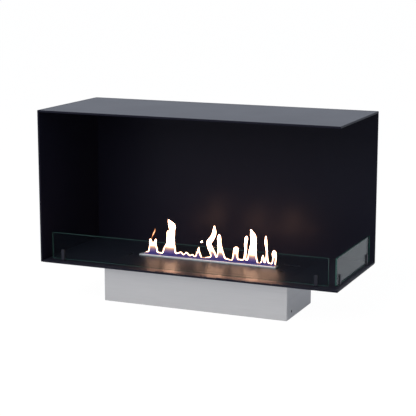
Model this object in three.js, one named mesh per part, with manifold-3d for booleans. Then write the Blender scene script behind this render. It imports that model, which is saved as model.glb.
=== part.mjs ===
// A bioethanol fireplace insert for a right-hand corner: closed at the top, floor, left
// side and back, open at the front and at the right, with a burner unit hung in its floor.
// Millimetres. +X runs to the open right side, +Y to the back and +Z up. The origin is the
// centre of the burner housing's underside, midway along the casing's width and depth.

import * as THREE from 'three';
import { mergeVertices } from 'three/addons/utils/BufferGeometryUtils.js';
import Module from 'manifold-3d';

const wasm = await Module();
wasm.setup();

// ---- Driving dimensions ----

// Casing: four folded sheet trays, welded together at their edges.
const casingWidth = 1000;
const casingDepth = 398;
const casingHeight = 492;
const casingEdge = 6; // depth of the folded edges, seen as the thickness of each wall
const casingSheet = 2;
const sheetCorner = 2.5; // rounding of a tray's corners
const sheetBend = 1.5; // outer radius of a fold

// Glass guards and their clips.
const glassThickness = 5;
const glassHeight = 85;
const glassRise = 5; // from the floor to the glass
const frontGlassSetback = 21.5; // from the casing's front edge to the glass
const frontGlassLeftGap = 26.5; // from the left wall to the glass
const frontGlassRightGap = 35.5; // from the casing's right edge to the glass
const sideGlassSetback = 12; // from the casing's right edge to the glass
const sideGlassFrontGap = 30; // from the casing's front edge to the glass
const sideGlassBackGap = 19; // from the back wall to the glass
const clipWidth = 11;
const clipHeight = 36;
const clipSheet = 2;
const clipLiner = 0.5; // silicone between a clip's leg and the glass
const linerShort = 2; // how far the liner stops below the clip's top
const frontClipInset = 38; // from the end of the front glass to a clip's centre
const sideClipInset = 31;
const clipScrewRadius = 2;
const clipScrewHeadRadius = 4;
const clipScrewHeadHeight = 2.5;

// Burner housing.
const housingWidth = 628;
const housingDepth = 230;
const housingDrop = 130; // from the casing's underside to the housing's
const housingSheet = 1.5;
const housingLip = 10; // inward flange that carries the burner plate

// Burner plate, flush with the floor on a sunk ledge.
const plateLap = 11; // how far the plate reaches past the housing
const plateSheet = 2;
const plateCorner = 4;
const plateGap = 0.5; // seam between the plate and the floor
const ledgeGap = 0.5; // between the ledge and the housing
const plateScrewRadius = 2;
const plateScrewHeadRadius = 4;
const plateScrewLength = 10;

// Flame slot, trough, wick and shield.
const slotEndRoom = 86; // from the housing's end to the slot's
const slotWidth = 12;
const rimEndMargin = 10; // rim beyond the slot's ends
const rimSideMargin = 7; // rim beyond the slot's sides
const rimHeight = 5;
const rimCorner = 2;
const rimBevel = 0.8;
const collarWall = 2; // spigot of the rim that passes through the plate
const collarReach = 8; // how far the spigot reaches below the plate
const collarGap = 0.5;
const troughEndMargin = 4; // trough beyond the slot's ends
const troughWidth = 44;
const troughDepth = 36;
const troughSheet = 1.5;
const troughFlange = 8;
const wickEndGap = 10; // from the slot's end to the wick's
const wickWidth = 18;
const wickHeight = 22;
const shieldGap = 5; // air round the trough
const shieldDrop = 12; // from the trough's underside to the shield's
const shieldSheet = 1;

// Igniter and flame sensor, side by side through the left ends of shield and trough.
const probeHeight = 14; // above the trough's underside
const probeFlangeRadius = 7;
const probeFlange = 3;
const probeTail = 20; // terminal end, outside the shield
const igniterRadius = 3.5;
const igniterPlace = -9; // offset from the trough's centre line
const sensorRadius = 2.5;
const sensorPlace = 10;
const probeTipGap = 2; // from a probe's tip to the wick

// Fuel tank with its float gauge.
const tankLeftRoom = 268.5; // from the housing's left wall to the tank
const tankDepth = 196;
const tankHeight = 75;
const tankSheet = 1.2;
const tankRightGap = 20.5; // from the housing's right wall to the tank
const gaugeFromRight = 172; // gauge's place, from the tank's right end
const gaugeFromFront = 28;
const gaugeHeadRadius = 13;
const gaugeHeadHeight = 8;
const gaugeStemRadius = 3;
const gaugeStopRadius = 5;
const gaugeStopHeight = 3;
const gaugeBottomGap = 4; // below the gauge, to the tank's floor
const floatRadius = 10;
const floatHeight = 14;
const floatBoreGap = 0.4;

// Filler under the hatch at the plate's right end.
const wellWidth = 58;
const wellLength = 100;
const wellDepth = 32;
const wellSheet = 1;
const wellEndGap = 5; // from the shield to the well
const neckRadius = 16;
const neckWall = 3;
const neckRise = 14; // above the well's floor
const neckDip = 8; // into the tank
const neckFlangeRadius = 22;
const neckFlange = 2;
const sealThickness = 2;
const sealInset = 0.5;
const capWall = 4.5;
const capTop = 4;
const capGap = 0.5; // round the neck
const capSkirt = 12;
const capGripWidth = 8;
const capGripHeight = 8;
const capGripShort = 2; // how far the grip stops inside the cap's rim
const hatchWidth = 53;
const hatchLength = 91;
const hatchGap = 0.5;
const hatchNotchRadius = 8; // finger notch
const knuckleRadius = 2.2;
const knuckleLength = 14;
const knuckleGap = 0.4;
const pinRadius = 1.1;
const pinClearance = 0.1;

// Start button and indicator at the plate's left end.
const buttonFromEnd = 55; // from the plate's left end
const buttonFromCentre = 60; // in front of the slot's line
const buttonRadius = 7.7;
const buttonGap = 0.3;
const buttonFlangeRadius = 9.5;
const buttonFlange = 2.5;
const buttonStemRadius = 3;
const buttonStemLength = 13.5;
const switchSize = 24;
const switchWall = 1.5;
const switchHeight = 18;
const switchDrop = 12; // from the plate to the switch's top
const springRadius = 4.6;
const springWire = 0.45;
const springTurns = 4;
const springSteps = 10; // per turn
const springGap = 0.3;
const lensWidth = 10;
const lensLength = 36;
const lensFlange = 2.5;
const lensFlangeThickness = 1.5;
const lensFromCentre = 14;

// Electronics and pump, left of the tank.
const boardLength = 120;
const boardDepth = 100;
const boardThickness = 1.6;
const boardRise = 12.5; // above the housing's floor
const boardFromEnd = 12.5; // from the housing's left wall
const trayMargin = 4; // of the tray round the board
const traySheet = 1.5;
const postRadius = 4;
const postInset = 8;
const connectorSize = 12;
const connectorHeight = 12;
const connectorPlaces = { // from the board's left end and from its centre line
  igniter: [32, 14],
  flame_sensor: [50, 14],
  button: [30, -30],
  pump: [106, 34],
  inlet: [106, -34],
};
const relayLength = 22;
const relayDepth = 24;
const relayHeight = 20;
const relayFromLeft = 62;
const pumpRadius = 17;
const pumpLength = 52;
const pumpFromTank = 30;
const pumpFromBack = 44;
const pumpRise = 29; // shaft height above the housing's floor
const pumpHeadSize = 30;
const pumpHeadLength = 16;
const nippleRadius = 3;
const nippleHeight = 8;
const nippleOffset = 8; // from the pump's centre line
const bracketSheet = 1.5;
const bracketWidth = 24;
const hoseRadius = 3;
const hoseInTankGap = 6;
const hoseBend = 16; // length over which a hose turns
const hoseRoom = 12; // from the shield down to the delivery hose
const dipFromLeft = 24; // from the tank's left end to the suction hose
const inletFromWickEnd = 28; // from the wick's left end to the fuel inlet
const hoseSteps = 44;

// Power inlet behind the round hole in the housing's right side.
const inletRadius = 4;
const inletBoreRadius = 3.2;
const inletFromFront = 42;
const inletRise = 21;
const inletFlangeRadius = 7;
const inletLength = 11;
const inletBoreDepth = 8;

const wireRadius = 1.2;
const wireBend = 12; // length over which a wire turns
const wireRise = 8; // above the housing's floor, beside the tank
const wireSteps = 28;
const longWireSteps = 64;
const fitGap = 0.3; // between a cut and what passes through it
const roundSides = 28;
const smallSides = 16;
const tubeSides = 8;
const arcSteps = 3; // per quarter turn of a small rounding
const mergeWithin = 1e-4;

// ---- Levels and edges that follow from them ----

const left = -casingWidth / 2;
const right = casingWidth / 2;
const front = -casingDepth / 2;
const back = casingDepth / 2;
const leftInner = left + casingEdge;
const backInner = back - casingEdge;
const casingBottom = housingDrop;
const casingTop = casingBottom + casingHeight;
const floorTop = casingBottom + casingEdge;
const floorUnder = floorTop - casingSheet;
const plateTop = floorTop;
const plateUnder = plateTop - plateSheet;
const plateHalfX = housingWidth / 2 + plateLap;
const plateHalfY = housingDepth / 2 + plateLap;
const innerHalfX = housingWidth / 2 - housingSheet;
const innerHalfY = housingDepth / 2 - housingSheet;
const slotLength = housingWidth - slotEndRoom * 2;
const troughLength = slotLength + troughEndMargin * 2;
const wickLength = slotLength - wickEndGap * 2;
const troughBottom = plateUnder - troughDepth;
const shieldBottom = troughBottom - shieldDrop;
const shieldHalfX = troughLength / 2 + shieldGap + shieldSheet;
const shieldHalfY = troughWidth / 2 + troughFlange + shieldGap + shieldSheet;
const tankRight = innerHalfX - tankRightGap;
const tankLeft = -innerHalfX + tankLeftRoom;
const tankTop = housingSheet + tankHeight;
const wellLeft = shieldHalfX + wellEndGap;
const wellCentre = wellLeft + wellWidth / 2;
const wellBottom = plateUnder - wellDepth;
const neckTop = wellBottom + wellSheet + neckRise;
const hingeLine = hatchLength / 2 + hatchGap / 2;
const buttonX = -plateHalfX + buttonFromEnd;
const boardLeft = -innerHalfX + boardFromEnd;
const boardTop = housingSheet + boardRise + boardThickness;
const pumpX = tankLeft - pumpFromTank - pumpLength / 2;
const pumpY = innerHalfY - pumpFromBack;
const pumpZ = housingSheet + pumpRise;

// ---- Materials ----

const finish = (color, roughness, metalness, opacity = 1) =>
  new THREE.MeshStandardMaterial({ color, roughness, metalness, opacity, transparent: opacity < 1 });

const blackSteel = () => finish(0x17171b, 0.42, 0.3);
const brushedSteel = () => finish(0xb4b5b8, 0.32, 0.95);
const plainSteel = () => finish(0x8f9194, 0.45, 0.9);
const blackenedSteel = () => finish(0x242427, 0.45, 0.6);
const clearGlass = () => finish(0xa9cfc4, 0.05, 0, 0.3);
const silicone = () => finish(0x2a2a2c, 0.8, 0);
const ceramicFibre = () => finish(0xe6e0d4, 0.95, 0);
const blackPlastic = () => finish(0x1b1b1d, 0.5, 0);
const boardGreen = () => finish(0x1f4a33, 0.55, 0.1);
const hoseRubber = () => finish(0x3a3632, 0.7, 0);

// ---- Solids ----

function toSolid(geometry) {
  const plain = geometry.clone();
  plain.deleteAttribute('normal');
  plain.deleteAttribute('uv');
  const merged = mergeVertices(plain, mergeWithin);
  return new wasm.Manifold(new wasm.Mesh({
    numProp: 3,
    vertProperties: merged.attributes.position.array,
    triVerts: new Uint32Array(merged.index.array),
  }));
}

function toGeometry(solid) {
  const mesh = solid.getMesh();
  const geometry = new THREE.BufferGeometry();
  geometry.setAttribute('position', new THREE.BufferAttribute(mesh.vertProperties, mesh.numProp));
  geometry.setIndex(new THREE.BufferAttribute(mesh.triVerts, 1));
  geometry.computeVertexNormals();
  return geometry;
}

const cut = (solid, ...tools) => tools.reduce((rest, tool) => rest.subtract(tool), solid);
const join = (solid, ...others) => others.reduce((sum, other) => sum.add(other), solid);

// A box between the given low and high values along X, Y and Z.
function block(xs, ys, zs) {
  const [x, y, z] = [xs, ys, zs].map(([low, high]) => (low + high) / 2);
  const size = [xs, ys, zs].map(([low, high]) => high - low);
  return toSolid(new THREE.BoxGeometry(...size).translate(x, y, z));
}

// The span of a given width about a centre.
const about = (centre, width) => [centre - width / 2, centre + width / 2];

// A round bar along one axis; the centre gives the other two coordinates in X, Y, Z order.
function rod(axis, radius, span, centre, sides = roundSides, endRadius = radius) {
  const geometry = new THREE.CylinderGeometry(endRadius, radius, span[1] - span[0], sides);
  const middle = (span[0] + span[1]) / 2;
  if (axis === 'x') return toSolid(geometry.rotateZ(-Math.PI / 2).translate(middle, ...centre));
  if (axis === 'y') return toSolid(geometry.translate(centre[0], middle, centre[1]));
  return toSolid(geometry.rotateX(Math.PI / 2).translate(...centre, middle));
}

function roundedOutline(halfU, halfV, radius) {
  const shape = new THREE.Shape();
  shape.absarc(halfU - radius, halfV - radius, radius, 0, Math.PI / 2);
  shape.absarc(radius - halfU, halfV - radius, radius, Math.PI / 2, Math.PI);
  shape.absarc(radius - halfU, radius - halfV, radius, Math.PI, Math.PI * 1.5);
  shape.absarc(halfU - radius, radius - halfV, radius, Math.PI * 1.5, Math.PI * 2);
  shape.closePath();
  return shape;
}

// Which way each face looks: the slab's length, width and outward thickness axes.
const facings = {
  up: ['x', 'y', 'z', 1],
  down: ['x', 'y', 'z', -1],
  right: ['y', 'z', 'x', 1],
  front: ['x', 'z', 'y', -1],
};

// A slab filling the box, with rounded corners and one rounded face.
function roundedSlab(facing, box, radius, bend) {
  const [u, v, w, sign] = facings[facing];
  const [halfU, halfV] = [u, v].map((axis) => (box[axis][1] - box[axis][0]) / 2);
  const thickness = box[w][1] - box[w][0];
  const geometry = new THREE.ExtrudeGeometry(roundedOutline(halfU, halfV, radius), {
    depth: thickness * 2 - bend,
    bevelThickness: bend,
    bevelSize: bend,
    bevelOffset: -bend,
    bevelSegments: arcSteps,
    curveSegments: arcSteps,
  });
  // The rounded far face moves to zero, and the rest runs on below it to be cut off.
  geometry.translate(0, 0, -thickness * 2);
  const unit = { x: [1, 0, 0], y: [0, 1, 0], z: [0, 0, 1] };
  const vectors = [u, v, w].map((axis) => new THREE.Vector3(...unit[axis]));
  vectors[2].multiplyScalar(sign);
  const basis = new THREE.Matrix4().makeBasis(...vectors);
  const mirrored = basis.determinant() < 0;
  geometry.applyMatrix4(basis);
  if (mirrored) reverseFaces(geometry);
  const origin = { [u]: mean(box[u]), [v]: mean(box[v]), [w]: sign > 0 ? box[w][1] : box[w][0] };
  geometry.translate(origin.x, origin.y, origin.z);
  return toSolid(geometry).intersect(block(box.x, box.y, box.z));
}

const mean = ([low, high]) => (low + high) / 2;

function reverseFaces(geometry) {
  const place = geometry.getAttribute('position');
  for (let i = 0; i < place.count; i += 3) {
    const a = new THREE.Vector3().fromBufferAttribute(place, i);
    const b = new THREE.Vector3().fromBufferAttribute(place, i + 1);
    place.setXYZ(i, b.x, b.y, b.z);
    place.setXYZ(i + 1, a.x, a.y, a.z);
  }
}

// A tube along a smooth line through hand-chosen points.
function tube(points, radius, steps) {
  const curve = new THREE.CatmullRomCurve3(points.map((point) => new THREE.Vector3(...point)));
  const section = new THREE.Shape();
  for (let i = 0; i < tubeSides; i += 1) {
    const angle = (i / tubeSides) * Math.PI * 2;
    const [x, y] = [radius * Math.cos(angle), radius * Math.sin(angle)];
    if (i === 0) section.moveTo(x, y);
    else section.lineTo(x, y);
  }
  section.closePath();
  return toSolid(new THREE.ExtrudeGeometry(section, { steps, extrudePath: curve, bevelEnabled: false }));
}

const group = new THREE.Group();

function add(name, solid, material) {
  const mesh = new THREE.Mesh(toGeometry(solid), material);
  mesh.name = name;
  group.add(mesh);
}

// ---- Casing ----

const trayX = [leftInner, right];
const trayY = [front, backInner];
const inset = (span, by) => [span[0] + by, span[1] - by];

function addFloor() {
  const box = { x: trayX, y: trayY, z: [casingBottom, floorTop] };
  const tray = roundedSlab('up', box, sheetCorner, sheetBend);
  const pocket = block(inset(trayX, casingSheet), inset(trayY, casingSheet), [casingBottom, floorUnder]);
  const ledgeX = plateHalfX + plateGap + casingSheet;
  const ledgeY = plateHalfY + plateGap + casingSheet;
  const ledge = block([-ledgeX, ledgeX], [-ledgeY, ledgeY], [plateUnder - casingSheet, floorUnder]);
  const seatX = plateHalfX + plateGap;
  const seatY = plateHalfY + plateGap;
  const seat = roundedBar(seatX, seatY, plateCorner, [plateUnder, floorTop]);
  const throughX = housingWidth / 2 + ledgeGap;
  const throughY = housingDepth / 2 + ledgeGap;
  const through = block([-throughX, throughX], [-throughY, throughY], [casingBottom, floorTop]);
  const holes = clips.map(({ centre }) =>
    rod('z', clipScrewRadius + fitGap, [casingBottom, floorTop], centre, smallSides));
  add('floor_panel', cut(join(cut(tray, pocket), ledge), seat, through, ...holes), blackSteel());
}

// A bar with a rounded rectangular section, standing along Z about the origin.
function roundedBar(halfX, halfY, radius, zs) {
  const geometry = new THREE.ExtrudeGeometry(roundedOutline(halfX, halfY, radius), {
    depth: zs[1] - zs[0],
    bevelEnabled: false,
    curveSegments: arcSteps,
  });
  return toSolid(geometry.translate(0, 0, zs[0]));
}

function addTop() {
  const box = { x: trayX, y: trayY, z: [casingTop - casingEdge, casingTop] };
  const pocketZ = [casingTop - casingEdge, casingTop - casingSheet];
  const pocket = block(inset(trayX, casingSheet), inset(trayY, casingSheet), pocketZ);
  add('top_panel', cut(roundedSlab('up', box, sheetCorner, sheetBend), pocket), blackSteel());
}

function addLeft() {
  const box = { x: [left, leftInner], y: trayY, z: [casingBottom, casingTop] };
  const pocket = block([left, leftInner - casingSheet], inset(box.y, casingSheet), inset(box.z, casingSheet));
  add('left_panel', cut(roundedSlab('right', box, sheetCorner, sheetBend), pocket), blackSteel());
}

function addBack() {
  const box = { x: [left, right], y: [backInner, back], z: [casingBottom, casingTop] };
  const pocket = block(inset(box.x, casingSheet), [backInner + casingSheet, back], inset(box.z, casingSheet));
  add('back_panel', cut(roundedSlab('front', box, sheetCorner, sheetBend), pocket), blackSteel());
}

// ---- Glass guards ----

const frontGlass = {
  along: [leftInner + frontGlassLeftGap, right - frontGlassRightGap],
  across: [front + frontGlassSetback, front + frontGlassSetback + glassThickness],
};
const sideGlass = {
  along: [front + sideGlassFrontGap, backInner - sideGlassBackGap],
  across: [right - sideGlassSetback - glassThickness, right - sideGlassSetback],
};
const glassZ = [floorTop + glassRise, floorTop + glassRise + glassHeight];

// A box along the front pane or along the side pane.
const guardBlock = (side, along, across, up) =>
  (side === 'front' ? block(along, across, up) : block(across, along, up));

function clipAt(name, side, glass, along) {
  const across = mean(glass.across);
  const centre = side === 'front' ? [along, across] : [across, along];
  return { name, side, along, across, centre };
}

const clips = [
  clipAt('front_left', 'front', frontGlass, frontGlass.along[0] + frontClipInset),
  clipAt('front_right', 'front', frontGlass, frontGlass.along[1] - frontClipInset),
  clipAt('side_front', 'side', sideGlass, sideGlass.along[0] + sideClipInset),
  clipAt('side_rear', 'side', sideGlass, sideGlass.along[1] - sideClipInset),
];

function addGlass() {
  add('front_glass', guardBlock('front', frontGlass.along, frontGlass.across, glassZ), clearGlass());
  add('side_glass', guardBlock('side', sideGlass.along, sideGlass.across, glassZ), clearGlass());
}

// A bent-up clip, its silicone liner and the screw that holds it from below the floor.
function addClip(clip) {
  const along = about(clip.along, clipWidth);
  const slot = glassThickness + clipLiner * 2;
  const webTop = floorTop + clipSheet;
  const clipTop = floorTop + clipHeight;
  const outer = guardBlock(clip.side, along, about(clip.across, slot + clipSheet * 2), [floorTop, clipTop]);
  const gap = guardBlock(clip.side, along, about(clip.across, slot), [webTop, clipTop]);
  const hole = rod('z', clipScrewRadius + fitGap, [floorTop, webTop], clip.centre, smallSides);
  add(`clip_${clip.name}`, cut(outer, gap, hole), blackSteel());

  const linerTop = clipTop - linerShort;
  const liner = guardBlock(clip.side, along, about(clip.across, slot), [webTop, linerTop]);
  const pane = guardBlock(clip.side, along, about(clip.across, glassThickness), [glassZ[0], linerTop]);
  add(`liner_${clip.name}`, cut(liner, pane), silicone());

  const shank = rod('z', clipScrewRadius, [floorUnder, webTop], clip.centre, smallSides);
  const headZ = [floorUnder - clipScrewHeadHeight, floorUnder];
  const head = rod('z', clipScrewHeadRadius, headZ, clip.centre, smallSides);
  add(`clip_screw_${clip.name}`, join(shank, head), plainSteel());
}

// ---- Burner plate with the hatch ----

const hatchX = about(wellCentre, hatchWidth);
const hatchY = about(0, hatchLength);
const knuckleSpans = [
  [hatchX[0], hatchX[0] + knuckleLength],
  about(wellCentre, knuckleLength),
  [hatchX[1] - knuckleLength, hatchX[1]],
];
const hinge = [hingeLine, plateTop];
const knuckle = (span) => rod('x', knuckleRadius, span, hinge, smallSides);
const knuckleRoom = (span) =>
  rod('x', knuckleRadius + knuckleGap, [span[0] - knuckleGap, span[1] + knuckleGap], hinge, smallSides);
const pinBore = () => rod('x', pinRadius + pinClearance, [hatchX[0], hatchX[1]], hinge, smallSides);

const screwX = innerHalfX - housingLip / 2;
const screwY = innerHalfY - housingLip / 2;
const plateScrews = [
  { name: 'front_left', centre: [-screwX, -screwY] },
  { name: 'front_right', centre: [screwX, -screwY] },
  { name: 'rear_left', centre: [-screwX, screwY] },
  { name: 'rear_right', centre: [screwX, screwY] },
];
const buttonCentre = [buttonX, -buttonFromCentre];

function addPlate() {
  const body = roundedBar(plateHalfX, plateHalfY, plateCorner - plateGap, [plateUnder, plateTop]);
  const collarX = slotLength / 2 + collarWall + collarGap;
  const collarY = slotWidth / 2 + collarWall + collarGap;
  const slot = block([-collarX, collarX], [-collarY, collarY], [plateUnder, plateTop]);
  const hatchHole = block(inset(hatchX, -hatchGap), inset(hatchY, -hatchGap), [plateUnder, plateTop]);
  const button = rod('z', buttonRadius + buttonGap, [plateUnder, plateTop], buttonCentre);
  const lens = block(
    about(buttonX, lensWidth + fitGap * 2),
    about(-lensFromCentre, lensLength + fitGap * 2),
    [plateUnder, plateTop],
  );
  const sinkTop = plateScrewHeadRadius + fitGap;
  const sinks = plateScrews.map(({ centre }) =>
    rod('z', plateScrewRadius + fitGap, [plateUnder, plateTop], centre, smallSides, sinkTop));
  const openings = [slot, hatchHole, button, lens, ...sinks];
  const cleared = cut(body, ...openings, knuckleRoom(knuckleSpans[0]), knuckleRoom(knuckleSpans[2]));
  const tongueY = [hatchY[1] - hatchGap, hingeLine + knuckleRadius + knuckleGap];
  const tongue = block(knuckleSpans[1], tongueY, [plateUnder, plateTop]);
  add('burner_plate', cut(join(cleared, tongue, knuckle(knuckleSpans[1])), pinBore()), blackSteel());
}

function addPlateScrew({ name, centre }) {
  const head = rod('z', plateScrewRadius, [plateUnder, plateTop], centre, smallSides, plateScrewHeadRadius);
  const shank = rod('z', plateScrewRadius, [plateTop - plateScrewLength, plateUnder], centre, smallSides);
  add(`plate_screw_${name}`, join(head, shank), blackenedSteel());
}

function addHatch() {
  const lid = block(hatchX, hatchY, [plateUnder, plateTop]);
  const notch = rod('z', hatchNotchRadius, [plateUnder, plateTop], [wellCentre, hatchY[0]]);
  const ends = [knuckleSpans[0], knuckleSpans[2]].map(knuckle);
  const roomX = inset(knuckleSpans[1], -knuckleGap);
  const roomY = [hatchY[1] - knuckleRadius - knuckleGap, hatchY[1]];
  const middleRoom = block(roomX, roomY, [plateUnder, plateTop]);
  add('filler_hatch', cut(join(cut(lid, notch, middleRoom), ...ends), pinBore()), blackSteel());
  add('hatch_pin', rod('x', pinRadius, hatchX, hinge, smallSides), plainSteel());
}

// ---- Flame slot, trough, wick and shield ----

function addRim() {
  const rimX = slotLength / 2 + rimEndMargin;
  const rimY = slotWidth / 2 + rimSideMargin;
  const box = { x: [-rimX, rimX], y: [-rimY, rimY], z: [plateTop, plateTop + rimHeight] };
  const top = roundedSlab('up', box, rimCorner, rimBevel);
  const collarX = slotLength / 2 + collarWall;
  const collarY = slotWidth / 2 + collarWall;
  const collarZ = [plateUnder - collarReach, plateTop];
  const collar = block([-collarX, collarX], [-collarY, collarY], collarZ);
  const slotZ = [collarZ[0], plateTop + rimHeight];
  const slot = block(about(0, slotLength), about(0, slotWidth), slotZ);
  add('slot_rim', cut(join(top, collar), slot), brushedSteel());
}

const probes = [
  { name: 'igniter', radius: igniterRadius, place: igniterPlace },
  { name: 'flame_sensor', radius: sensorRadius, place: sensorPlace },
];
const probeZ = troughBottom + probeHeight;
const probeHole = (probe, span) => rod('x', probe.radius + fitGap, span, [probe.place, probeZ], smallSides);
const fuelInlet = [-wickLength / 2 + inletFromWickEnd, (wickWidth + troughWidth) / 4];
const fuelHole = (zs) => rod('z', hoseRadius + fitGap, zs, fuelInlet, smallSides);

function addTrough() {
  const outer = block(about(0, troughLength), about(0, troughWidth), [troughBottom, plateUnder]);
  const flange = block(
    about(0, troughLength),
    about(0, troughWidth + troughFlange * 2),
    [plateUnder - troughSheet, plateUnder],
  );
  const hollow = block(
    about(0, troughLength - troughSheet * 2),
    about(0, troughWidth - troughSheet * 2),
    [troughBottom + troughSheet, plateUnder],
  );
  const endWall = [-troughLength / 2, -troughLength / 2 + troughSheet];
  const holes = probes.map((probe) => probeHole(probe, endWall));
  const inlet = fuelHole([troughBottom, troughBottom + troughSheet]);
  add('burner_trough', cut(join(outer, flange), hollow, inlet, ...holes), plainSteel());

  const wickZ = [troughBottom + troughSheet, troughBottom + troughSheet + wickHeight];
  add('ceramic_wick', block(about(0, wickLength), about(0, wickWidth), wickZ), ceramicFibre());
}

function addShield() {
  const xs = [-shieldHalfX, shieldHalfX];
  const ys = [-shieldHalfY, shieldHalfY];
  const outer = block(xs, ys, [shieldBottom, plateUnder]);
  const hollowZ = [shieldBottom + shieldSheet, plateUnder];
  const hollow = block(inset(xs, shieldSheet), inset(ys, shieldSheet), hollowZ);
  const holes = probes.map((probe) => probeHole(probe, [xs[0], xs[0] + shieldSheet]));
  const inlet = fuelHole([shieldBottom, shieldBottom + shieldSheet]);
  add('heat_shield', cut(outer, hollow, inlet, ...holes), plainSteel());
}

// A rod through the shield's end wall, flanged outside it, with its terminal end behind.
function addProbe(probe) {
  const tip = -wickLength / 2 - probeTipGap;
  const centre = [probe.place, probeZ];
  const stem = rod('x', probe.radius, [-shieldHalfX - probeTail, tip], centre, smallSides);
  const flange = rod('x', probeFlangeRadius, [-shieldHalfX - probeFlange, -shieldHalfX], centre, smallSides);
  add(probe.name, join(stem, flange), probe.name === 'igniter' ? ceramicFibre() : plainSteel());
}

// ---- Housing ----

const inletCentre = [-housingDepth / 2 + inletFromFront, inletRise];

function addHousing() {
  const box = { x: about(0, housingWidth), y: about(0, housingDepth), z: [0, plateUnder] };
  const outer = roundedSlab('down', box, sheetCorner, sheetBend);
  const hollowZ = [housingSheet, plateUnder - housingSheet];
  const hollow = block([-innerHalfX, innerHalfX], [-innerHalfY, innerHalfY], hollowZ);
  const mouthX = innerHalfX - housingLip;
  const mouthY = innerHalfY - housingLip;
  const mouth = block([-mouthX, mouthX], [-mouthY, mouthY], [plateUnder - housingSheet, plateUnder]);
  const holes = plateScrews.map(({ centre }) =>
    rod('z', plateScrewRadius + fitGap, [plateUnder - housingSheet, plateUnder], centre, smallSides));
  const inlet = rod('x', inletRadius + fitGap, [innerHalfX, housingWidth / 2], inletCentre, smallSides);
  add('housing_shell', cut(outer, hollow, mouth, inlet, ...holes), brushedSteel());
}

function addInlet() {
  const face = housingWidth / 2;
  const barrel = rod('x', inletRadius, [innerHalfX - inletLength, face], inletCentre, smallSides);
  const flange = rod('x', inletFlangeRadius, [innerHalfX - inletLength, innerHalfX], inletCentre, smallSides);
  const bore = rod('x', inletBoreRadius, [face - inletBoreDepth, face], inletCentre, smallSides);
  add('power_inlet', cut(join(barrel, flange), bore), blackPlastic());
}

// ---- Tank, gauge and filler ----

const gaugeCentre = [tankRight - gaugeFromRight, -tankDepth / 2 + gaugeFromFront];
const dipCentre = [tankLeft + dipFromLeft, pumpY];
const stopTop = housingSheet + tankSheet + gaugeBottomGap + gaugeStopHeight;

function addTank() {
  const xs = [tankLeft, tankRight];
  const ys = about(0, tankDepth);
  const outer = block(xs, ys, [housingSheet, tankTop]);
  const hollowZ = [housingSheet + tankSheet, tankTop - tankSheet];
  const hollow = block(inset(xs, tankSheet), inset(ys, tankSheet), hollowZ);
  const lid = [tankTop - tankSheet, tankTop];
  const filler = rod('z', neckRadius + fitGap, lid, [wellCentre, 0]);
  const gauge = rod('z', gaugeStemRadius + fitGap, lid, gaugeCentre, smallSides);
  const suction = rod('z', hoseRadius + fitGap, lid, dipCentre, smallSides);
  add('fuel_tank', cut(outer, hollow, filler, gauge, suction), brushedSteel());
}

function addGauge() {
  const head = rod('z', gaugeHeadRadius, [tankTop, tankTop + gaugeHeadHeight], gaugeCentre, smallSides);
  const stem = rod('z', gaugeStemRadius, [stopTop - gaugeStopHeight, tankTop], gaugeCentre, smallSides);
  const stop = rod('z', gaugeStopRadius, [stopTop - gaugeStopHeight, stopTop], gaugeCentre, smallSides);
  add('level_sensor', join(head, stem, stop), blackPlastic());
  const floatZ = [stopTop, stopTop + floatHeight];
  const body = rod('z', floatRadius, floatZ, gaugeCentre);
  const bore = rod('z', gaugeStemRadius + floatBoreGap, floatZ, gaugeCentre, smallSides);
  add('level_float', cut(body, bore), blackPlastic());
}

function addFiller() {
  const xs = [wellLeft, wellLeft + wellWidth];
  const ys = about(0, wellLength);
  const centre = [wellCentre, 0];
  const outer = block(xs, ys, [wellBottom, plateUnder]);
  const hollow = block(inset(xs, wellSheet), inset(ys, wellSheet), [wellBottom + wellSheet, plateUnder]);
  const hole = rod('z', neckRadius + fitGap, [wellBottom, wellBottom + wellSheet], centre);
  add('filler_well', cut(outer, hollow, hole), blackSteel());

  const floor = wellBottom + wellSheet;
  const neckZ = [tankTop - neckDip, neckTop];
  const pipe = rod('z', neckRadius, neckZ, centre);
  const flange = rod('z', neckFlangeRadius, [floor, floor + neckFlange], centre);
  const bore = rod('z', neckRadius - neckWall, neckZ, centre);
  add('filler_neck', cut(join(pipe, flange), bore), plainSteel());

  const sealZ = [neckTop, neckTop + sealThickness];
  const seal = rod('z', neckRadius - sealInset, sealZ, centre);
  const sealBore = rod('z', neckRadius - neckWall, sealZ, centre);
  add('cap_seal', cut(seal, sealBore), silicone());

  const capUnder = neckTop + sealThickness;
  const capRadius = neckRadius + capGap + capWall;
  const shell = rod('z', capRadius, [capUnder - capSkirt, capUnder + capTop], centre);
  const room = rod('z', neckRadius + capGap, [capUnder - capSkirt, capUnder], centre);
  const gripZ = [capUnder + capTop, capUnder + capTop + capGripHeight];
  const grip = block(about(wellCentre, capGripWidth), about(0, (capRadius - capGripShort) * 2), gripZ);
  add('filler_cap', join(cut(shell, room), grip), blackPlastic());
}

// ---- Button, switch and indicator ----

const flangeUnder = plateUnder - buttonFlange;
const switchTop = plateUnder - switchDrop;

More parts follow.
